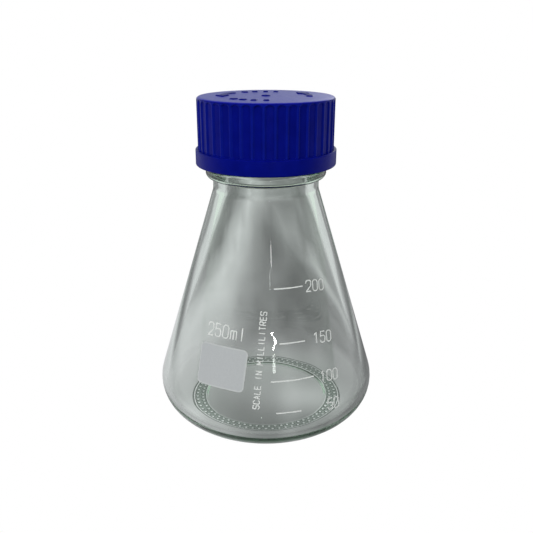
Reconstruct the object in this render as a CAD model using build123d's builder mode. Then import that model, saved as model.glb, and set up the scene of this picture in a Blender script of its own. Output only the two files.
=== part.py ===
"""Conical laboratory flask of moulded glass, closed by a ribbed screw cap.

The flask stands on the plane z = 0 and its axis is the Z axis. The scale faces -Y.
The cap, its seal disc and the pouring ring are modelled screwed tight on the neck.
"""
from math import cos, radians, sin, tan

from build123d import *
import os

# Flask body, outside
overall_height = 124.7  # base plane to the top of the closed cap
cone_half_angle = 17.1
cone_foot_radius = 48.0  # where the cone's straight side would meet the base plane
heel_radius = 13.1  # rounding between the side and the base
neck_radius = 19.95
shoulder_blend = 5.0
ring_inner_radius = 25.1  # the flask rests on a flat ring outside this radius
ring_step = 0.6
base_hollow = 1.8  # rise of the underside at its centre

# Flask body, inside
wall = 2.7  # at the foot of the cone; the glass thickens towards the neck
floor_height = 4.2  # glass over the standing ring
floor_crown = 0.8  # rise of the floor from the standing ring to the middle
inner_heel_radius = 8.5
bore_radius = 15.5
inner_shoulder_height = 91.0  # where the inside of the cone would meet the bore
inner_shoulder_blend = 9.0

# Neck finish, a 45 mm right-hand glass thread
bead_radius = 22.6
bead_bottom = 95.5
bead_top = 99.5
bead_lower_rounding = 2.0
bead_upper_rounding = 1.0
glass_corner_rounding = 0.5
thread_root_radius = 20.6
thread_crest_radius = 22.2
thread_pitch = 4.0
thread_turns = 2.25
thread_root_half_width = 1.2
thread_crest_half_width = 0.6
thread_crest_rounding = 0.35
thread_embedding = 0.4  # how far a ridge reaches into the wall that carries it
glass_thread_start = 106.0
lip_step = 116.8
lip_outer_radius = 19.3
lip_top = 120.3
lip_rounding = 0.7

# Pouring ring, snapped over the lip
ring_outer_radius = 20.6
ring_play = 0.15
ring_bottom = 117.1
ring_top = 121.2
ring_rounding = 0.4
ring_chamfer = 0.3

# Seal disc, loose in the cap
seal_radius = 20.8
seal_gap = 0.05
seal_thickness = 1.4
seal_chamfer = 0.2

# Screw cap
cap_bottom = 100.4
cap_band_top = 106.1
cap_band_radius = 26.1
cap_radius = 25.15
cap_cavity_radius = 22.6
cap_cavity_top = ring_top + 2 * seal_gap + seal_thickness
cap_thread_crest_radius = 21.0
cap_thread_start = glass_thread_start - thread_pitch / 2
cap_top_rounding = 1.0
cap_edge_rounding = 0.5
cap_ledge_rounding = 0.3
flute_count = 40
flute_width = 3.3
flute_depth = 0.5
flute_top = overall_height - 0.7
flute_arch_rise = 1.1
first_flute_angle = 3.0  # degrees past the front of the cap

# Raised marks on the cap's top
emboss_height = 0.35
emboss_radius = 15.8
emboss_width = 2.2
arrow_starts = (350.0, 140.0)
arrow_sweep = 38.0
arrow_head_sweep = 16.0
arrow_head_width = 5.0
dash_angles = (222.0, 237.0, 252.0, 267.0, 72.0, 87.0, 102.0, 117.0)
dash_sweep = 7.0
gate_mark_radius = 1.6

# Enamel print, fired on to the glass
enamel = 0.06
print_reach = 3.0  # how far flat artwork is carried through the curved skin
line_width = 0.42
scale_heights = {50: 18.5, 100: 29.5, 150: 42.4, 200: 61.2}
scale_line_angles = {50: (5.0, 17.5), 100: (2.5, 26.5), 150: (7.9, 23.8), 200: (5.5, 26.5)}
number_angles = {50: 35.8, 100: 36.2, 150: 36.1, 200: 37.1}
number_drop = {50: 0.5, 100: 1.3, 150: 0.25, 200: 0.75}  # below the line it belongs to
number_tilt = -8.0
number_height = 4.0
number_width = 2.1
number_pitch = 2.95
capacity_height = 4.7
capacity_width = 2.2
capacity_pitch = 3.15
capacity_angle = -25.1
capacity_level = 45.4
caption_height = 2.2
caption_width = 1.15
caption_pitch = 1.78
caption_line_width = 0.34
caption_angle = -3.4
caption_level = 36.8
caption_lean = 3.8
panel_width = 19.2
panel_height = 15.5
panel_corner = 1.8
panel_border = 0.5
panel_angle = -25.6
panel_level = 32.9

cone_slope = tan(radians(cone_half_angle))


def cone_radius(height, inset=0.0):
    """Radius of the cone's straight side, moved inwards by inset along its normal."""
    return cone_foot_radius - height * cone_slope - inset / cos(radians(cone_half_angle))


def cone_height(radius, inset=0.0):
    """Height at which the straight side has this radius."""
    return (cone_radius(0, inset) - radius) / cone_slope


def corner(section, x, y):
    """The corner of a section nearest to a point."""
    return section.vertices().sort_by_distance((x, y))[0]


def surface_plane(angle, height, turn=0.0):
    """A plane touching the cone's side: local X runs round to the right, local Y up the slope."""
    side = radians(angle)
    lean = radians(cone_half_angle)
    outward = Vector(sin(side) * cos(lean), -cos(side) * cos(lean), sin(lean))
    across = Vector(cos(side), sin(side), 0)
    up_slope = outward.cross(across)
    reading = across * cos(radians(turn)) + up_slope * sin(radians(turn))
    radius = cone_radius(height)
    origin = Vector(radius * sin(side), -radius * cos(side), height)
    return Plane(origin=origin, x_dir=reading, z_dir=outward)


def polar_point(radius, angle):
    """A point on a flat sketch, given by its distance from the centre and its angle."""
    return (radius * cos(radians(angle)), radius * sin(radians(angle)))


def outer_side(growth):
    """Draws the heel, the straight side and the neck as a half section, grown outwards."""
    with BuildSketch(Plane.XZ) as half:
        with BuildLine():
            Polyline(
                (0, -growth),
                (cone_radius(-growth, -growth), -growth),
                (neck_radius + growth, cone_height(neck_radius + growth, -growth)),
                (neck_radius + growth, bead_bottom),
                (0, bead_bottom),
                close=True,
            )
        make_face()
        fillet(corner(half, cone_radius(0), 0), heel_radius + growth)
        fillet(corner(half, neck_radius, cone_height(neck_radius)), shoulder_blend)
    return half.sketch


def thread_ridge(start, root_radius, crest_radius):
    """A helical ridge with a rounded trapezoid section, rising to the right-hand rule."""
    toward_crest = 1 if crest_radius > root_radius else -1
    with BuildPart() as ridge:
        with BuildLine() as path:
            Helix(thread_pitch, thread_pitch * thread_turns, root_radius, center=(0, 0, start))
        section_plane = Plane(
            origin=path.line @ 0,
            x_dir=(toward_crest, 0, 0),
            z_dir=path.line % 0,
        )
        height = abs(crest_radius - root_radius)
        with BuildSketch(section_plane) as section:
            with BuildLine():
                Polyline(
                    (-thread_embedding, -thread_root_half_width),
                    (0, -thread_root_half_width),
                    (height, -thread_crest_half_width),
                    (height, thread_crest_half_width),
                    (0, thread_root_half_width),
                    (-thread_embedding, thread_root_half_width),
                    close=True,
                )
            make_face()
            fillet(section.vertices().group_by(Axis.X)[-1], thread_crest_rounding)
        sweep(path=path.line, is_frenet=True)
    return ridge.part


# ---------------------------------------------------------------- flask body
with BuildPart() as flask_body:
    with BuildSketch(Plane.XZ) as glass_section:
        with BuildLine():
            Polyline(
                (ring_inner_radius, 0),
                (cone_foot_radius, 0),
                (neck_radius, cone_height(neck_radius)),
                (neck_radius, bead_bottom),
                (bead_radius, bead_bottom),
                (bead_radius, bead_top),
                (thread_root_radius, bead_top),
                (thread_root_radius, lip_step),
                (lip_outer_radius, lip_step),
                (lip_outer_radius, lip_top),
                (bore_radius, lip_top),
                (bore_radius, inner_shoulder_height),
                (cone_radius(floor_height, wall), floor_height),
                (ring_inner_radius, floor_height),
            )
            TangentArc(
                (0, floor_height + floor_crown),
                (ring_inner_radius, floor_height),
                tangent=(1, 0),
            )
            Line((0, floor_height + floor_crown), (0, base_hollow))
            TangentArc(
                (0, base_hollow),
                (ring_inner_radius - ring_step, ring_step),
                tangent=(1, 0),
            )
            Line((ring_inner_radius - ring_step, ring_step), (ring_inner_radius, 0))
        make_face()
        fillet(corner(glass_section, cone_foot_radius, 0), heel_radius)
        fillet(corner(glass_section, neck_radius, cone_height(neck_radius)), shoulder_blend)
        fillet(corner(glass_section, neck_radius, bead_bottom), glass_corner_rounding)
        fillet(corner(glass_section, bead_radius, bead_bottom), bead_lower_rounding)
        fillet(corner(glass_section, bead_radius, bead_top), bead_upper_rounding)
        fillet(corner(glass_section, thread_root_radius, bead_top), glass_corner_rounding)
        fillet(corner(glass_section, thread_root_radius, lip_step), glass_corner_rounding)
        fillet(corner(glass_section, lip_outer_radius, lip_top), lip_rounding)
        fillet(corner(glass_section, bore_radius, lip_top), lip_rounding)
        fillet(corner(glass_section, bore_radius, inner_shoulder_height), inner_shoulder_blend)
        fillet(
            corner(glass_section, cone_radius(floor_height, wall), floor_height),
            inner_heel_radius,
        )
    revolve(axis=Axis.Z)
    add(thread_ridge(glass_thread_start, thread_root_radius, thread_crest_radius))

# ---------------------------------------------------------------- pouring ring
with BuildPart() as pouring_ring:
    with BuildSketch(Plane.XZ) as ring_section:
        with BuildLine():
            Polyline(
                (lip_outer_radius + ring_play, ring_bottom),
                (ring_outer_radius, ring_bottom),
                (ring_outer_radius, ring_top),
                (bore_radius, ring_top),
                (bore_radius, lip_top),
                (lip_outer_radius + ring_play, lip_top),
                close=True,
            )
        make_face()
        fillet(corner(ring_section, ring_outer_radius, ring_top), ring_rounding)
        chamfer(corner(ring_section, ring_outer_radius, ring_bottom), ring_chamfer)
        fillet(corner(ring_section, bore_radius, ring_top), ring_rounding)
    revolve(axis=Axis.Z)

# ---------------------------------------------------------------- seal disc
with BuildPart() as seal_disc:
    with BuildSketch(Plane.XY.offset(ring_top + seal_gap)):
        Circle(seal_radius)
    extrude(amount=seal_thickness)
    chamfer(seal_disc.edges().filter_by(GeomType.CIRCLE), seal_chamfer)

# ---------------------------------------------------------------- screw cap
with BuildPart() as flute_cutter:
    front_plane = Plane(
        origin=(0, -(cap_radius - flute_depth), cap_band_top),
        x_dir=(1, 0, 0),
        z_dir=(0, -1, 0),
    )
    with BuildSketch(front_plane):
        half_flute = flute_width / 2
        arch_top = flute_top - cap_band_top
        arch_spring = arch_top - flute_arch_rise
        with BuildLine():
            Polyline(
                (-half_flute, arch_spring),
                (-half_flute, 0),
                (half_flute, 0),
                (half_flute, arch_spring),
            )
            ThreePointArc((half_flute, arch_spring), (0, arch_top), (-half_flute, arch_spring))
        make_face()
    extrude(amount=2 * flute_depth)

with BuildPart() as screw_cap:
    with BuildSketch(Plane.XZ) as cap_section:
        with BuildLine():
            Polyline(
                (cap_cavity_radius, cap_bottom),
                (cap_band_radius, cap_bottom),
                (cap_band_radius, cap_band_top),
                (cap_radius, cap_band_top),
                (cap_radius, overall_height),
                (0, overall_height),
                (0, cap_cavity_top),
                (cap_cavity_radius, cap_cavity_top),
                close=True,
            )
        make_face()
        fillet(corner(cap_section, cap_band_radius, cap_bottom), cap_edge_rounding)
        fillet(corner(cap_section, cap_band_radius, cap_band_top), cap_ledge_rounding)
        fillet(corner(cap_section, cap_radius, overall_height), cap_top_rounding)
        fillet(corner(cap_section, cap_cavity_radius, cap_cavity_top), cap_edge_rounding)
        chamfer(corner(cap_section, cap_cavity_radius, cap_bottom), cap_edge_rounding)
    revolve(axis=Axis.Z)
    with PolarLocations(0, flute_count, start_angle=first_flute_angle):
        add(flute_cutter.part, mode=Mode.SUBTRACT)
    add(thread_ridge(cap_thread_start, cap_cavity_radius, cap_thread_crest_radius))
    with BuildSketch(Plane.XY.offset(overall_height)):
        for arrow_start in arrow_starts:
            arrow_neck = arrow_start + arrow_sweep
            with BuildLine():
                shaft = CenterArc((0, 0), emboss_radius, arrow_start, arrow_sweep)
            trace(shaft, line_width=emboss_width)
            with BuildLine():
                Polyline(
                    polar_point(emboss_radius - arrow_head_width / 2, arrow_neck),
                    polar_point(emboss_radius + arrow_head_width / 2, arrow_neck),
                    polar_point(emboss_radius, arrow_neck + arrow_head_sweep),
                    close=True,
                )
            make_face()
        for dash_angle in dash_angles:
            with BuildLine():
                dash = CenterArc((0, 0), emboss_radius, dash_angle, dash_sweep)
            trace(dash, line_width=emboss_width)
        Circle(gate_mark_radius)
    extrude(amount=emboss_height)

# ---------------------------------------------------------------- enamel print
# Each stroke is a corner radius and its points, in a box one wide and one high.
GLYPHS = {
    "0": [(0.45, (0, 0), (0, 1), (1, 1), (1, 0), (0, 0))],
    "1": [(0, (0.15, 0.75), (0.55, 0.97)), (0, (0.55, 1), (0.55, 0))],
    "2": [(0.4, (0, 0.72), (0, 1), (1, 1), (1, 0.5), (0, 0)), (0, (0, 0), (1, 0))],
    "5": [(0, (0.95, 1), (0.12, 1), (0, 0.5)), (0.4, (0, 0.56), (1, 0.66), (1, 0), (0, 0), (0, 0.24))],
    "m": [
        (0, (0, 0), (0, 0.68)),
        (0.2, (0, 0.4), (0, 0.68), (0.5, 0.68), (0.5, 0)),
        (0.2, (0.5, 0.4), (0.5, 0.68), (1, 0.68), (1, 0)),
    ],
    "l": [(0, (0.5, 0), (0.5, 1))],
    "A": [(0, (0, 0), (0.5, 1)), (0, (0.5, 1), (1, 0)), (0, (0.17, 0.34), (0.83, 0.34))],
    "C": [(0.4, (1, 0.76), (1, 1), (0, 1), (0, 0), (1, 0), (1, 0.24))],
    "E": [(0, (1, 1), (0, 1), (0, 0), (1, 0)), (0, (0, 0.52), (0.85, 0.52))],
    "I": [(0, (0.5, 0), (0.5, 1))],
    "L": [(0, (0, 1), (0, 0), (0.95, 0))],
    "M": [(0, (0, 0), (0, 1)), (0, (0, 1), (0.5, 0.3)), (0, (0.5, 0.3), (1, 1)), (0, (1, 1), (1, 0))],
    "N": [(0, (0, 0), (0, 1)), (0, (0, 1), (1, 0)), (0, (1, 0), (1, 1))],
    "R": [(0.25, (0, 1), (1, 1), (1, 0.48), (0, 0.48)), (0, (0, 0), (0, 1)), (0, (0.55, 0.48), (1, 0))],
    "S": [(0.24, (1, 0.78), (1, 1), (0, 1), (0, 0.52), (1, 0.48), (1, 0), (0, 0), (0, 0.22))],
    "T": [(0, (0, 1), (1, 1)), (0, (0.5, 1), (0.5, 0))],
}


def write(words, height, pitch, glyph_width, stroke_width):
    """Draws a line of lettering in the open sketch, centred on its origin."""
    start = -(len(words) - 1) * pitch / 2
    for place, letter in enumerate(words):
        left = start + place * pitch - glyph_width / 2
        for radius, *points in GLYPHS.get(letter, []):
            spots = [(left + x * glyph_width, (y - 0.5) * height) for x, y in points]
            with BuildLine() as stroke:
                if points[0] == points[-1]:
                    FilletPolyline(*spots[:-1], radius=radius * glyph_width, close=True)
                elif radius:
                    FilletPolyline(*spots, radius=radius * glyph_width)
                else:
                    Polyline(*spots)
            trace(stroke.line, line_width=stroke_width)


with BuildPart() as enamel_skin:
    add(outer_side(enamel))
    revolve(axis=Axis.Z)
    add(outer_side(0))
    revolve(axis=Axis.Z, mode=Mode.SUBTRACT)

with BuildPart() as graduation_lines:
    for volume, level in scale_heights.items():
        first, last = scale_line_angles[volume]
        with BuildSketch(Plane.XY.offset(level - line_width / 2)):
            with BuildLine():
                reach = cone_foot_radius + 1
                rim = CenterArc((0, 0), reach, first - 90, last - first)
                Line((0, 0), rim @ 0)
                Line(rim @ 1, (0, 0))
            make_face()
        extrude(amount=line_width)
    add(enamel_skin.part, mode=Mode.INTERSECT)

with BuildPart() as graduation_numbers:
    for volume, level in scale_heights.items():
        place = surface_plane(number_angles[volume], level - number_drop[volume], number_tilt)
        with BuildSketch(place):
            write(str(volume), number_height, number_pitch, number_width, line_width)
        extrude(amount=print_reach, both=True)
    add(enamel_skin.part, mode=Mode.INTERSECT)

with BuildPart() as capacity_mark:
    with BuildSketch(surface_plane(capacity_angle, capacity_level)):
        write("250ml", capacity_height, capacity_pitch, capacity_width, line_width)
    extrude(amount=print_reach, both=True)
    add(enamel_skin.part, mode=Mode.INTERSECT)

with BuildPart() as scale_caption:
    with BuildSketch(surface_plane(caption_angle, caption_level, 90 - caption_lean)):
        write(
            "SCALE IN MILLILITRES",
            caption_height,
            caption_pitch,
            caption_width,
            caption_line_width,
        )
    extrude(amount=print_reach, both=True)
    add(enamel_skin.part, mode=Mode.INTERSECT)

with BuildPart() as marking_border:
    with BuildSketch(surface_plane(panel_angle, panel_level)):
        RectangleRounded(panel_width, panel_height, panel_corner)
        RectangleRounded(
            panel_width - 2 * panel_border,
            panel_height - 2 * panel_border,
            panel_corner - panel_border,
            mode=Mode.SUBTRACT,
        )
    extrude(amount=print_reach, both=True)
    add(enamel_skin.part, mode=Mode.INTERSECT)

with BuildPart() as marking_panel:
    with BuildSketch(surface_plane(panel_angle, panel_level)):
        RectangleRounded(
            panel_width - 2 * panel_border,
            panel_height - 2 * panel_border,
            panel_corner - panel_border,
        )
    extrude(amount=print_reach, both=True)
    add(enamel_skin.part, mode=Mode.INTERSECT)

# ---------------------------------------------------------------- files
pieces = {
    "flask_body": flask_body,
    "pouring_ring": pouring_ring,
    "seal_disc": seal_disc,
    "screw_cap": screw_cap,
    "graduation_lines": graduation_lines,
    "graduation_numbers": graduation_numbers,
    "capacity_mark": capacity_mark,
    "scale_caption": scale_caption,
    "marking_border": marking_border,
    "marking_panel": marking_panel,
}
os.makedirs("parts", exist_ok=True)
for name, piece in pieces.items():
    piece.part.label = name
    export_step(piece.part, f"parts/{name}.step")
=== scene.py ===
"""Looks for the screw-cap flask: moulded glass, a ribbed cap, the enamel print and a pale studio."""
from math import ceil, cos, exp, floor, hypot, pi, radians, sin, sqrt, tan

import bpy
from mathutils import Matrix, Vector, noise


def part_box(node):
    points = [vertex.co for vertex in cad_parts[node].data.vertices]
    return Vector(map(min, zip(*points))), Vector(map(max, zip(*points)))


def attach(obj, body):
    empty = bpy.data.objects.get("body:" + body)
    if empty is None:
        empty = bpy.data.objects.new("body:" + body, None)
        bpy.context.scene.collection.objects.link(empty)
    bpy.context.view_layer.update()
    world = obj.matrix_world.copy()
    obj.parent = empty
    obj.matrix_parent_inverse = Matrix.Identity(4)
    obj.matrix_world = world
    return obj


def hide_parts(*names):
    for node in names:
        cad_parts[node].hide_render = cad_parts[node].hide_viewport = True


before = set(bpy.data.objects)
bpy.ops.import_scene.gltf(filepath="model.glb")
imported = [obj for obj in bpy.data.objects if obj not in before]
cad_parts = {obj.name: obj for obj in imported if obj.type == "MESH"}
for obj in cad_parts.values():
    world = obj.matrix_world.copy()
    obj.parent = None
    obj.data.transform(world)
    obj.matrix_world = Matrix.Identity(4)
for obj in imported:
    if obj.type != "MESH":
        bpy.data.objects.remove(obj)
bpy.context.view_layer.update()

MM = 0.001

# ------------------------------------------------------------------ sizes, in millimetres
glass_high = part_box("flask_body")[1] / MM
cap_low, cap_high = (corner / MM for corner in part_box("screw_cap"))

# Glass, from the foot up
cone_half_angle = radians(17.1)
cone_slope = tan(cone_half_angle)
cone_lean = 1 / cos(cone_half_angle)
cone_foot = 48.0  # where the cone's straight side would meet the base plane
heel_radius = 13.1
neck_radius = 19.95
neck_blend = 5.0
wall = 2.7  # at the foot of the cone; the glass thickens towards the neck
inner_heel_radius = 8.5
floor_height = 4.2
floor_crown = 0.8
base_hollow = 1.8
base_blend = 0.8
ring_inner = 25.1
ring_outer = 30.3
ring_step = 0.6
stipple_depth = 0.40
stud_margin = 0.5  # from the inner edge of the standing ring to its first row of studs
seam_radius = 30.65
seam_depth = 0.22
knurled_edge = seam_radius + 0.4
bead_radius = 22.6
bead_bottom = 95.5
bead_top = 99.5
bead_lower_rounding = 2.0
bead_upper_rounding = 1.0
corner_rounding = 0.5
root_radius = 20.6
lip_step = 116.8
lip_outer = 19.3
lip_top = glass_high.z
lip_rounding = 0.7
bore_radius = 15.5
inner_shoulder_height = 91.0
inner_shoulder_blend = 9.0
thread_pitch = 4.0
thread_turns = 2.25
thread_start = 106.0
thread_height = 1.6
thread_root_half = 1.2
thread_crest_half = 0.6

# The chilled patch, where the mould has rippled the outside of the cone
chilled_angle = radians(275)
chilled_depth = 0.006
chilled_sway = 0.7
chilled_zone = (36.0, 51.0)

# Cap
emboss_height = 0.35
cap_top = cap_high.z - emboss_height
cap_bottom = cap_low.z
cap_radius = 25.15
band_radius = 26.1
band_top = 106.1
cavity_radius = 22.6
cavity_top = 122.7
cap_thread_start = thread_start - thread_pitch / 2
flute_count = 40
flute_half_width = 1.65
flute_depth = 0.5
flute_top = cap_top - 0.7
flute_arch_rise = 1.1
flute_flank = 0.28  # how far a flute's edge slopes
first_flute = 3.0  # degrees past the front of the cap

# Points around a ring of the meshes
glass_points = 240
fine_glass_points = 720
cap_points = 400
fine_cap_points = 800
floor_points = 120


# ------------------------------------------------------------------ outlines
def rounded(corners, arc_step=0.14):
    """Points along a path whose corners are rounded. Each corner is radius, height, rounding."""
    path = []
    for i, (x, y, rounding) in enumerate(corners):
        here = Vector((x, y))
        if not rounding or i in (0, len(corners) - 1):
            path.append(here)
            continue
        back = (Vector(corners[i - 1][:2]) - here).normalized()
        ahead = (Vector(corners[i + 1][:2]) - here).normalized()
        half_angle = back.angle(ahead) / 2
        centre = here + (back + ahead).normalized() * rounding / sin(half_angle)
        start = here + back * rounding / tan(half_angle) - centre
        sweep = start.angle_signed(here + ahead * rounding / tan(half_angle) - centre)
        steps = max(3, ceil(abs(sweep) / arc_step))
        for k in range(steps + 1):
            turn = -sweep * k / steps
            path.append(
                centre
                + Vector((
                    start.x * cos(turn) - start.y * sin(turn),
                    start.x * sin(turn) + start.y * cos(turn),
                ))
            )
    return path


def divided(path, longest):
    """The same path with every long straight run cut into pieces no longer than longest(x, y)."""
    points = [path[0]]
    for a, b in zip(path, path[1:]):
        span = (b - a).length
        middle = (a + b) / 2
        steps = max(1, ceil(span / longest(middle.x, middle.y)))
        points += [a.lerp(b, k / steps) for k in range(1, steps + 1)]
    return points


def smooth(start, end, value):
    """A soft step from 0 at start to 1 at end, rising or falling along the value."""
    t = min(max((value - start) / (end - start), 0.0), 1.0)
    return t * t * (3 - 2 * t)


def thread_profile(angle, height, start):
    """How much of the thread's full height stands at this place, from 0 to 1."""
    run_out = 0.06  # turns over which each end of the thread fades
    best = 0.0
    for turn in range(ceil(thread_turns) + 1):
        along = angle / (2 * pi) + turn
        if not 0 <= along <= thread_turns:
            continue
        off = abs(height - start - thread_pitch * along)
        ends = smooth(0, run_out, along) * smooth(0, run_out, thread_turns - along)
        best = max(best, ends * (1 - smooth(thread_crest_half, thread_root_half, off)))
    return best


# ------------------------------------------------------------------ meshes
def skin(name, rings):
    """A closed mesh from rings of points. The first and last rings are single points."""
    points = []
    faces = []
    starts = []
    for ring in rings:
        starts.append(len(points))
        points += ring
    for below, above in zip(range(len(rings)), range(1, len(rings))):
        a, b = starts[below], starts[above]
        n, m = len(rings[below]), len(rings[above])
        if n == 1:
            faces += [(a, b + (k + 1) % m, b + k) for k in range(m)]
        elif m == 1:
            faces += [(a + k, a + (k + 1) % n, b) for k in range(n)]
        elif n == m:
            faces += [(a + k, a + (k + 1) % n, b + (k + 1) % n, b + k) for k in range(n)]
        elif n < m:
            faces += fan(a, n, b, m, flip=False)
        else:
            faces += fan(b, m, a, n, flip=True)
    mesh = bpy.data.meshes.new(name)
    mesh.from_pydata([Vector(p) * MM for p in points], [], faces)
    mesh.polygons.foreach_set("use_smooth", [True] * len(mesh.polygons))
    mesh.validate()
    piece = bpy.data.objects.new(name, mesh)
    bpy.context.scene.collection.objects.link(piece)
    return piece


def fan(coarse, n, fine, m, flip):
    """Triangles that join a ring of n points to a ring of several times as many."""
    share = m // n
    faces = []
    for k in range(n):
        here, after = coarse + k, coarse + (k + 1) % n
        edge = [fine + (k * share + j) % m for j in range(share + 1)]
        half = share // 2
        faces += [(here, edge[j + 1], edge[j]) for j in range(half)]
        faces.append((here, after, edge[half]))
        faces += [(after, edge[j + 1], edge[j]) for j in range(half, share)]
    return [face[::-1] for face in faces] if flip else faces


def around(count, place):
    """A ring of points. place gives the radius and height at an angle from +X."""
    ring = []
    for k in range(count):
        angle = 2 * pi * k / count
        radius, height = place(angle)
        ring.append((radius * cos(angle), radius * sin(angle), height))
    return ring


# ------------------------------------------------------------------ flask body
def stipple(radius, angle):
    """Depth of the knurled ring under the flask, whose studs reach the base plane, and of its seam."""
    rows = 2
    studs = 70
    outer_margin = 0.4
    stud_crest = 0.42
    stud_foot = 0.95
    seam = seam_depth * smooth(0.34, 0.04, abs(radius - seam_radius))
    band = (ring_outer - ring_inner - (stud_margin + outer_margin)) / rows
    row = floor((radius - ring_inner - stud_margin) / band)
    if not 0 <= row < rows:
        return seam
    row_radius = ring_inner + stud_margin + (row + 0.5) * band
    place = angle / (2 * pi) * studs + 0.5 * (row % 2)
    across = (place - round(place)) * 2 * pi / studs * row_radius
    reach = hypot(across, radius - row_radius)
    return stipple_depth * smooth(stud_crest, stud_foot, reach)


def outer_wave(angle, height):
    """Unevenness of the moulded outside: slow waves, and a chilled patch that ripples sideways."""
    wave_depth = 0.012
    half_swing = 3.6
    swing_height = 44.5
    slow = Vector((cos(angle) * 1.6, sin(angle) * 1.6, height / 30))
    fine = Vector((angle * 7, height / 3.0, 0))
    turn = angle - chilled_angle
    swing = sin(pi * (swing_height - height) / half_swing)
    patch = smooth(51, 46, height) * smooth(38, 42, height) * smooth(0.12, 0.04, abs(turn))
    ripple = chilled_sway * turn * swing + chilled_depth * noise.noise(fine)
    return wave_depth * noise.noise(slow) + patch * ripple


def inner_wave(angle, height):
    """The blown inside is less even, with slow vertical waves."""
    slow_depth = 0.16
    fine_depth = 0.035
    slow = Vector((cos(angle) * 1.5, sin(angle) * 1.5, height / 45 + 7))
    fine = Vector((cos(angle) * 4.5, sin(angle) * 4.5, height / 16 + 3))
    return slow_depth * noise.noise(slow) + fine_depth * noise.noise(fine)


def on_cone(height):
    """A place on the straight outside of the cone, with no rounding."""
    return cone_foot - height * cone_slope, height, 0


def glass_body():
    """The whole flask in one skin, from the middle of the base over the lip to the floor."""
    inner_foot = cone_foot - wall * cone_lean - floor_height * cone_slope
    outline = rounded(
        [
            (ring_inner - 2.6, ring_step + 0.22, 0),
            (ring_inner - 1.1, ring_step, base_blend),
            (ring_inner + 0.2, 0, base_blend),
            (cone_foot, 0, heel_radius),
            on_cone(chilled_zone[0]),
            on_cone(chilled_zone[1]),
            (neck_radius, (cone_foot - neck_radius) / cone_slope, neck_blend),
            (neck_radius, bead_bottom, corner_rounding),
            (bead_radius, bead_bottom, bead_lower_rounding),
            (bead_radius, bead_top, bead_upper_rounding),
            (root_radius, bead_top, corner_rounding),
            (root_radius, lip_step, corner_rounding),
            (lip_outer, lip_step, 0),
            (lip_outer, lip_top, lip_rounding),
            (bore_radius, lip_top, lip_rounding),
            (bore_radius, inner_shoulder_height, inner_shoulder_blend),
            (inner_foot, floor_height, inner_heel_radius),
            (ring_inner, floor_height, 0),
        ]
    )
    wave_room = 0.02  # keeps the waves of the outside within its true outline
    plain_step = 2.5
    stud_step = 0.17
    thread_step = 0.3
    chilled_step = 0.5

    def threaded(radius, height):
        return radius > neck_radius and thread_start - 2 < height < lip_step

    def longest(radius, height):
        if height < 0.3 and radius < seam_radius + 0.5:
            return stud_step
        if threaded(radius, height):
            return thread_step
        on_outside = radius > cone_foot - height * cone_slope - wall / 2
        if on_outside and chilled_zone[0] < height < chilled_zone[1]:
            return chilled_step
        return plain_step

    rings = [[(0, 0, base_hollow)]]
    for share in (0.1, 0.3, 0.5, 0.7, 0.85):
        radius = (ring_inner - ring_step) * share
        height = base_hollow - (base_hollow - ring_step) * share * share
        rings.append(around(glass_points, lambda angle: (radius, height)))
    inside = False
    for x, y in divided(outline, longest):
        inside = inside or (x < bore_radius + 0.01 and y > bead_top)
        knurled = y < 0.05 and ring_inner + 0.2 < x < knurled_edge
        chilled = chilled_zone[0] < y < chilled_zone[1] and not inside

        def place(angle):
            if knurled:
                return x, y + stipple(x, angle)
            if inside:
                fade = smooth(0.5, 12, x) * smooth(lip_top, lip_top - 20, y)
                return x + inner_wave(angle, y) * fade, y
            if threaded(x, y):
                return x + thread_height * thread_profile(angle, y, thread_start), y
            return x - wave_room + outer_wave(angle, y) * smooth(0.3, 6, y), y

        rings.append(around(fine_glass_points if knurled or chilled else glass_points, place))
    for share in (0.9, 0.75, 0.6, 0.45, 0.3, 0.15):
        height = floor_height + floor_crown * (1 - share * share)
        rings.append(around(glass_points, lambda angle: (ring_inner * share, height)))
    rings.append([(0, 0, floor_height + floor_crown)])
    return skin("moulded_glass", rings)


# ------------------------------------------------------------------ screw cap
def flute(angle, height):
    """Depth of the grip flutes at a place on the cap's side, from 0 to 1."""
    pitch = 2 * pi / flute_count
    turn = (angle + pi / 2 - radians(first_flute)) / pitch
    across = abs(turn - round(turn)) * pitch * cap_radius
    spring = flute_top - flute_arch_rise
    rise = max(height - spring, 0) / flute_arch_rise
    if rise >= 1:
        return 0.0
    reach = flute_half_width * sqrt(1 - rise * rise)
    side = reach - across
    crown = (flute_top - height) * 1.5
    return smooth(0.0, flute_flank, min(side, crown))


def in_arc(angle, start, sweep):
    """How far inside an arc an angle lies, in degrees. Negative is outside."""
    off = (angle - start - sweep / 2 + 180) % 360 - 180
    return sweep / 2 - abs(off)


def embossing(radius, angle):
    """Raised turning arrows, dashes and gate mark on the cap's top, from 0 to 1."""
    emboss_radius = 15.8
    half_width = 1.1
    head_half_width = 2.5
    head_sweep = 16.0
    shaft_sweep = 38.0
    dash_sweep = 7.0
    gate_radius = 1.6
    arrow_starts = (350.0, 140.0)
    dash_starts = (222.0, 237.0, 252.0, 267.0, 72.0, 87.0, 102.0, 117.0)
    degrees = angle * 180 / pi
    per_degree = emboss_radius * pi / 180
    across = abs(radius - emboss_radius)
    best = gate_radius - radius
    for start in arrow_starts:
        along = in_arc(degrees, start, shaft_sweep + 0.2 * head_sweep) * per_degree
        best = max(best, min(half_width - across, along))
        into = (degrees - start - shaft_sweep + 180) % 360 - 180
        if 0 <= into <= head_sweep:
            limit = head_half_width * (1 - into / head_sweep) - across
            best = max(best, min(limit, into * per_degree))
    for start in dash_starts:
        best = max(best, min(half_width - across, in_arc(degrees, start, dash_sweep) * per_degree))
    return smooth(-0.08, 0.16, best)


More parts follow.
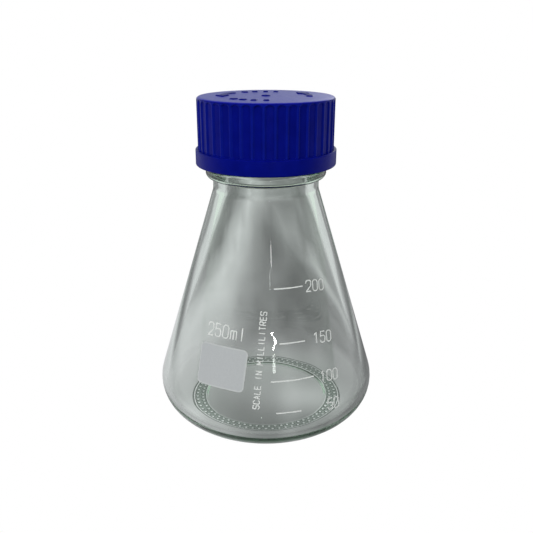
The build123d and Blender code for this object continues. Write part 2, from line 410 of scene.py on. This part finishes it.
def cap_body():
    """The whole cap in one skin, from the middle of its top, under the band and up the inside."""
    gate_zone = 2.2
    mark_zone = (12.8, 18.8)
    arch_zone = flute_top - 2
    ledge = cap_radius + 0.2  # everything outside this radius belongs to the plain band
    core = 0.4
    rim_fade = (24.2, 24.9)  # the flutes fade out where the rim rounds over to the top
    plain_step = 2.5
    top_step = 2.0
    mark_step = 0.25
    arch_step = 0.15
    thread_step = 0.4
    outline = rounded(
        [
            (core, cap_top, 0),
            (gate_zone, cap_top, 0),
            (mark_zone[0], cap_top, 0),
            (mark_zone[1], cap_top, 0),
            (cap_radius, cap_top, 1.0),
            (cap_radius, arch_zone, 0),
            (cap_radius, band_top, 0.18),
            (band_radius, band_top, 0.35),
            (band_radius, cap_bottom, 0.5),
            (cavity_radius + 0.5, cap_bottom, 0),
            (cavity_radius, cap_bottom + 0.5, 0),
            (cavity_radius, cavity_top, 0.5),
            (core, cavity_top, 0),
        ],
        arc_step=0.2,
    )

    def longest(radius, height):
        if height > cavity_top + 0.5:
            marked = mark_zone[0] < radius < mark_zone[1] or radius < gate_zone
            return mark_step if marked else top_step
        if radius < cavity_radius + 0.1 and cap_bottom + 1 < height < cavity_top - 5:
            return thread_step
        if radius > cap_radius - 0.1 and height > arch_zone:
            return arch_step
        return plain_step

    rings = [[(0, 0, cap_top)]]
    turned_in = False
    for x, y in divided(outline, longest):
        turned_in = turned_in or y < cap_bottom + 0.01

        def place(angle):
            if turned_in:
                ridge = 0.0
                if x > cavity_radius - 0.01 and y > cap_bottom + 0.6:
                    ridge = thread_height * thread_profile(angle, y, cap_thread_start)
                return x - ridge, y
            if y > cap_top - 0.001 and x < cap_radius - 1:
                return x, y + emboss_height * embossing(x, angle)
            if x > ledge:
                return x, y
            return x - flute_depth * flute(angle, y) * smooth(*rim_fade, x), y

        fine = not turned_in and x < ledge
        rings.append(around(fine_cap_points if fine else cap_points, place))
    rings.append([(0, 0, cavity_top)])
    return skin("ribbed_cap", [ring[::-1] if len(ring) > 1 else ring for ring in rings])


# ------------------------------------------------------------------ materials
def material(name):
    """A material, its node tree and its main shader."""
    made = bpy.data.materials.new(name)
    made.use_nodes = True
    shader = made.node_tree.nodes["Principled BSDF"]
    return made, made.node_tree, shader


def node(tree, kind, **inputs):
    """Adds a node and sets its inputs by name."""
    made = tree.nodes.new(kind)
    for name, value in inputs.items():
        made.inputs[name.replace("_", " ")].default_value = value
    return made


def grain(tree, scale, detail=2.0, stretch=(1, 1, 1)):
    """Noise fixed to the object."""
    place = tree.nodes.new("ShaderNodeTexCoord")
    spread = node(tree, "ShaderNodeMapping", Scale=stretch)
    speckle = node(tree, "ShaderNodeTexNoise", Scale=scale, Detail=detail)
    tree.links.new(place.outputs["Object"], spread.inputs["Vector"])
    tree.links.new(spread.outputs["Vector"], speckle.inputs["Vector"])
    return speckle.outputs["Fac"]


def varied(tree, source, low, high):
    """Maps grain to a range."""
    spread = node(tree, "ShaderNodeMapRange", From_Min=0.3, From_Max=0.7, To_Min=low, To_Max=high)
    tree.links.new(source, spread.inputs["Value"])
    return spread.outputs["Result"]


def tinted(tree, source, low, high):
    """Maps grain to a run of colours."""
    ramp = tree.nodes.new("ShaderNodeValToRGB")
    ramp.color_ramp.elements[0].position = 0.3
    ramp.color_ramp.elements[0].color = (*low, 1)
    ramp.color_ramp.elements[1].position = 0.7
    ramp.color_ramp.elements[1].color = (*high, 1)
    tree.links.new(source, ramp.inputs["Fac"])
    return ramp.outputs["Color"]


def bumped(tree, shader, source, distance):
    """Roughens a surface by grain. The distance is in metres."""
    bump = node(tree, "ShaderNodeBump", Strength=1.0, Distance=distance)
    tree.links.new(source, bump.inputs["Height"])
    tree.links.new(bump.outputs["Normal"], shader.inputs["Normal"])


def clear_glass(name, tint, roughness):
    """Faintly green glass. The colour builds up with depth, and the surface can be tinted too, which
    paints shade where the tint is dark.
    """
    depth_colour = (0.20, 0.50, 0.28, 1)
    depth_density = 28.0
    made, tree, shader = material(name)
    shader.inputs["Base Color"].default_value = (*tint, 1)
    shader.inputs["Transmission Weight"].default_value = 1.0
    shader.inputs["IOR"].default_value = 1.51
    shader.inputs["Roughness"].default_value = roughness
    bumped(tree, shader, grain(tree, 55, 1.0, (1, 1, 0.35)), 0.00006)
    depth = node(tree, "ShaderNodeVolumeAbsorption", Color=depth_colour, Density=depth_density)
    tree.links.new(depth.outputs[0], tree.nodes["Material Output"].inputs["Volume"])
    return made


def blue_plastic(name, dark, light, gloss):
    """Blue polypropylene, faintly mottled."""
    made, tree, shader = material(name)
    colour = tinted(tree, grain(tree, 240, 3.0), dark, light)
    tree.links.new(colour, shader.inputs["Base Color"])
    tree.links.new(varied(tree, grain(tree, 900, 2.0), 0.32, 0.38), shader.inputs["Roughness"])
    shader.inputs["Specular IOR Level"].default_value = gloss
    bumped(tree, shader, grain(tree, 2600, 2.0), 0.000012)
    return made


def enamel(name, dark, light, roughness):
    """Fired ceramic print, slightly uneven."""
    made, tree, shader = material(name)
    tree.links.new(tinted(tree, grain(tree, 1600, 3.0), dark, light), shader.inputs["Base Color"])
    finish = varied(tree, grain(tree, 2500, 2.0), roughness, roughness + 0.2)
    tree.links.new(finish, shader.inputs["Roughness"])
    bumped(tree, shader, grain(tree, 4000, 2.0), 0.000012)
    return made


def silicone():
    """Pale seal rubber."""
    made, tree, shader = material("silicone")
    colour = tinted(tree, grain(tree, 300, 2.0), (0.62, 0.61, 0.57), (0.70, 0.69, 0.65))
    tree.links.new(colour, shader.inputs["Base Color"])
    tree.links.new(varied(tree, grain(tree, 900, 2.0), 0.55, 0.7), shader.inputs["Roughness"])
    bumped(tree, shader, grain(tree, 1500, 2.0), 0.00002)
    return made


def dress(piece, *looks):
    """Gives a piece its materials in place of the ones it came with."""
    piece.data.materials.clear()
    for look in looks:
        piece.data.materials.append(look)


def face_place(face):
    """A face's distance from the axis and its height, in millimetres."""
    return hypot(face.center.x, face.center.y) / MM, face.center.z / MM


glass = glass_body()
dress(
    glass,
    clear_glass("clear_glass", (0.97, 0.975, 0.97), 0.0),
    # Painted shade: a dark, slightly rough copy of the glass for the grooves between the studs and the
    # seam round the standing ring.
    clear_glass("shaded_groove_glass", (0.12, 0.145, 0.13), 0.2),
)
shaded_groove_slot = 1
# Painted shade: the dark glass goes on the grooves and the seam, above the stud tops.
for face in glass.data.polygons:
    reach, height = face_place(face)
    if 0.06 < height < ring_step and ring_inner + stud_margin < reach < knurled_edge:
        face.material_index = shaded_groove_slot
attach(glass, "flask")
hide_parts("flask_body")

plastic = blue_plastic("blue_polypropylene", (0.0008, 0.0032, 0.172), (0.0013, 0.0046, 0.212), 0.06)
cap = cap_body()
dress(
    cap,
    plastic,
    # Painted light: a lighter copy of the blue for the flat top, as if lit from above.
    blue_plastic("top_painted_light_polypropylene", (0.0020, 0.0050, 0.36), (0.0026, 0.0065, 0.39), 0.40),
    blue_plastic("raised_polypropylene", (0.0010, 0.0034, 0.17), (0.0016, 0.0050, 0.21), 0.02),
    # Painted highlight: a lighter copy of the blue for the rib crests and flanks.
    blue_plastic("rib_painted_highlight_polypropylene", (0.0018, 0.0062, 0.205), (0.0024, 0.0080, 0.245), 0.06),
)
lit_top_slot = 1
raised_slot = 2
rib_highlight_slot = 3
flute_floor = cap_radius - flute_depth
for face in cap.data.polygons:
    reach, height = face_place(face)
    # The flat top gets the painted-light copy; the raised marks keep the plain blue with little gloss.
    if face.normal.z > 0.5 and height > cap_top - 0.3:
        face.material_index = lit_top_slot if height < cap_top + 0.05 else raised_slot
    # The rib crests and flanks get the painted highlight.
    elif band_top + 0.2 < height < flute_top and 0.1 < reach - flute_floor < 0.6:
        face.material_index = rib_highlight_slot
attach(cap, "cap")
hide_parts("screw_cap")

white = enamel("white_enamel", (0.72, 0.74, 0.72), (0.84, 0.85, 0.84), 0.4)
for name in ("graduation_lines", "graduation_numbers", "capacity_mark", "scale_caption"):
    dress(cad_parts[name], white)
border = enamel("border_enamel", (0.54, 0.555, 0.56), (0.58, 0.595, 0.60), 0.5)
dress(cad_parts["marking_border"], border)
panel = enamel("matt_panel", (0.485, 0.50, 0.515), (0.515, 0.53, 0.545), 0.55)
dress(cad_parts["marking_panel"], panel)
dress(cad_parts["pouring_ring"], plastic)
dress(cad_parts["seal_disc"], silicone())


# ------------------------------------------------------------------ studio
room_front = 0.26
room_back = 0.9
room_ceiling = 0.4
table_level = 0.195
side_level = 0.75
front_level = 0.22

# Soft pools of light on the table, in metres from the flask's axis: how strong, where in x and y,
# how far they reach in x and y, and how much they lean sideways on their way back.
light_pools = (
    (0.58, -0.042, 0.22, 0.028, 0.32, 0.0),
    (0.50, -0.085, 0.06, 0.025, 0.10, 0.0),
    (0.34, 0.067, 0.16, 0.014, 0.20, -0.30),
    (0.26, 0.0, 0.48, 0.10, 0.13, 0.0),
    (0.24, 0.014, 0.022, 0.028, 0.032, 0.0),
    (0.26, 0.019, -0.004, 0.017, 0.012, 0.0),
    (-0.05, -0.012, -0.012, 0.010, 0.014, 0.0),
)


def floor_glow(x, y):
    """Grey level of the table that the glass shows, in metres from the flask's axis. It is painted
    light and shade: pools, mottling, brighter sides, a darker front and extra light under the standing
    ring and the heel.
    """
    level = table_level
    for strength, spot_x, spot_y, reach_x, reach_y, lean in light_pools:
        across = x - spot_x - lean * (y - spot_y)
        level += strength * exp(-((across / reach_x) ** 2) - ((y - spot_y) / reach_y) ** 2)
    wide_mottle = 0.09 * noise.noise(Vector((x * 60, y * 14, 3)))
    fine_mottle = 0.05 * noise.noise(Vector((x * 140, y * 30, 9)))
    level += wide_mottle + fine_mottle
    level += (side_level - level) * smooth(0.07, 0.17, abs(x) - 0.4 * max(y, 0.0))
    level += (front_level - level) * smooth(-0.05, -0.12, y)
    reach = hypot(x, y) / MM
    # Painted light: the table is brighter under the standing ring and, at the front, under the heel.
    painted_ring_light = smooth(ring_inner - 0.2, ring_inner + 0.5, reach)
    painted_ring_light *= smooth(ring_outer + 0.6, ring_outer - 0.2, reach)
    in_front = smooth(0.0, -0.02, y)
    painted_heel_light = smooth(ring_outer - 0.2, ring_outer + 0.6, reach) * smooth(0.045, 0.038, reach * MM)
    return level * (1 + (0.5 + 1.3 * in_front) * painted_ring_light + 0.6 * painted_heel_light * in_front)


def seen_two_ways(tree, out, looked_at, shown):
    """The camera sees one shader. Reflections, glass and lighting get the other."""
    path = tree.nodes.new("ShaderNodeLightPath")
    mix = tree.nodes.new("ShaderNodeMixShader")
    tree.links.new(path.outputs["Is Camera Ray"], mix.inputs[0])
    tree.links.new(shown.outputs[0], mix.inputs[1])
    tree.links.new(looked_at.outputs[0], mix.inputs[2])
    tree.links.new(mix.outputs[0], out.inputs["Surface"])


def studio_floor():
    """White where it is looked at. What the glass shows of it is the grey of floor_glow."""
    # Rings in millimetres: closest where the standing ring touches, then wider and wider.
    radii = [4.0 * k for k in range(1, 7)]
    radii += [24.6 + 0.4 * k for k in range(17)]
    radii += [32 + 4 * k for k in range(40)]
    radii += [200 * 1.35**k for k in range(12)]
    rings = [[(0, 0, 0)]]
    for radius in radii:
        rings.append(around(floor_points, lambda angle: (radius, 0)))
    floor_piece = skin("studio_floor", rings)
    mesh = floor_piece.data
    glow = mesh.color_attributes.new("glow", "FLOAT_COLOR", "POINT")
    for vertex, shade in zip(mesh.vertices, glow.data):
        level = floor_glow(vertex.co.x, vertex.co.y)
        near = smooth(-0.05, -0.12, vertex.co.y)
        shade.color = (level * (1.01 - 0.25 * near), level, level * (1.035 - 0.2 * near), 1)
    made = bpy.data.materials.new("studio_floor")
    made.use_nodes = True
    tree = made.node_tree
    tree.nodes.clear()
    out = tree.nodes.new("ShaderNodeOutputMaterial")
    plain = node(tree, "ShaderNodeEmission", Color=(1, 1, 1, 1), Strength=1.0)
    shown = node(tree, "ShaderNodeEmission", Strength=1.0)
    shades = tree.nodes.new("ShaderNodeVertexColor")
    shades.layer_name = "glow"
    tree.links.new(shades.outputs["Color"], shown.inputs["Color"])
    seen_two_ways(tree, out, plain, shown)
    mesh.materials.append(made)


def studio_world():
    """A white backdrop to look at. The gloss and the glass see a room, darker in front and above."""
    world = bpy.data.worlds.new("studio")
    bpy.context.scene.world = world
    world.use_nodes = True
    tree = world.node_tree
    tree.nodes.clear()
    out = tree.nodes.new("ShaderNodeOutputWorld")
    plain = node(tree, "ShaderNodeBackground", Color=(1, 1, 1, 1), Strength=1.0)
    room = node(tree, "ShaderNodeBackground", Color=(0.95, 1.0, 0.97, 1))
    place = tree.nodes.new("ShaderNodeTexCoord")
    split = tree.nodes.new("ShaderNodeSeparateXYZ")
    tree.links.new(place.outputs["Generated"], split.inputs["Vector"])
    both = tree.nodes.new("ShaderNodeMath")
    both.operation = "MULTIPLY"
    for slot, (axis, start, end, low, high) in enumerate(
        (
            ("Y", -0.6, 0.6, room_front, room_back),
            ("Z", 0.10, 0.35, 1.0, room_ceiling),
        )
    ):
        change = node(
            tree, "ShaderNodeMapRange", From_Min=start, From_Max=end, To_Min=low, To_Max=high
        )
        change.interpolation_type = "SMOOTHSTEP"
        tree.links.new(split.outputs[axis], change.inputs["Value"])
        tree.links.new(change.outputs["Result"], both.inputs[slot])
    tree.links.new(both.outputs[0], room.inputs["Strength"])
    seen_two_ways(tree, out, plain, room)


def softbox(name, place, size, power, in_gloss=False, in_glass=False):
    """An area light aimed at the flask, which may show in the gloss and through the glass."""
    flask_middle = Vector((0, 0, 0.07))
    lamp = bpy.data.lights.new(name, "AREA")
    lamp.shape = "RECTANGLE"
    lamp.size, lamp.size_y = size
    lamp.energy = power
    holder = bpy.data.objects.new(name, lamp)
    holder.location = place
    aim = flask_middle - Vector(place)
    holder.rotation_euler = aim.to_track_quat("-Z", "Y").to_euler()
    holder.visible_glossy = in_gloss
    holder.visible_transmission = in_glass
    bpy.context.scene.collection.objects.link(holder)


def studio_camera():
    """Looks slightly down at the flask from the front."""
    look_down = radians(20.59)
    lens = bpy.data.cameras.new("camera")
    lens.lens = 42.66
    lens.sensor_width = 36.0
    holder = bpy.data.objects.new("camera", lens)
    holder.location = (0.0002, -0.2352, 0.1472)
    holder.rotation_euler = (pi / 2 - look_down, 0, 0)
    bpy.context.scene.collection.objects.link(holder)
    bpy.context.scene.camera = holder


studio_floor()
studio_world()
studio_camera()
softbox("left_softbox", (-0.6, -0.7, 0.75), (0.5, 0.5), 8.2)
softbox("right_softbox", (0.6, -0.6, 0.6), (0.4, 0.4), 3.0)
softbox("rear_sheen", (0.35, 1.0, 0.5), (0.5, 0.3), 0.9, in_gloss=True)
softbox("window_high", (0.14, -1.0, 0.33), (0.013, 0.06), 0.045, in_gloss=True, in_glass=True)
softbox("window_low", (0.16, -1.0, 0.165), (0.05, 0.028), 0.3, in_gloss=True, in_glass=True)

scene = bpy.context.scene
scene.view_settings.view_transform = "Standard"
# Light is guided a long way inside the glass of the heel, which gives its dark green line.
scene.cycles.max_bounces = 64
scene.cycles.transmission_bounces = 64
scene.cycles.glossy_bounces = 32
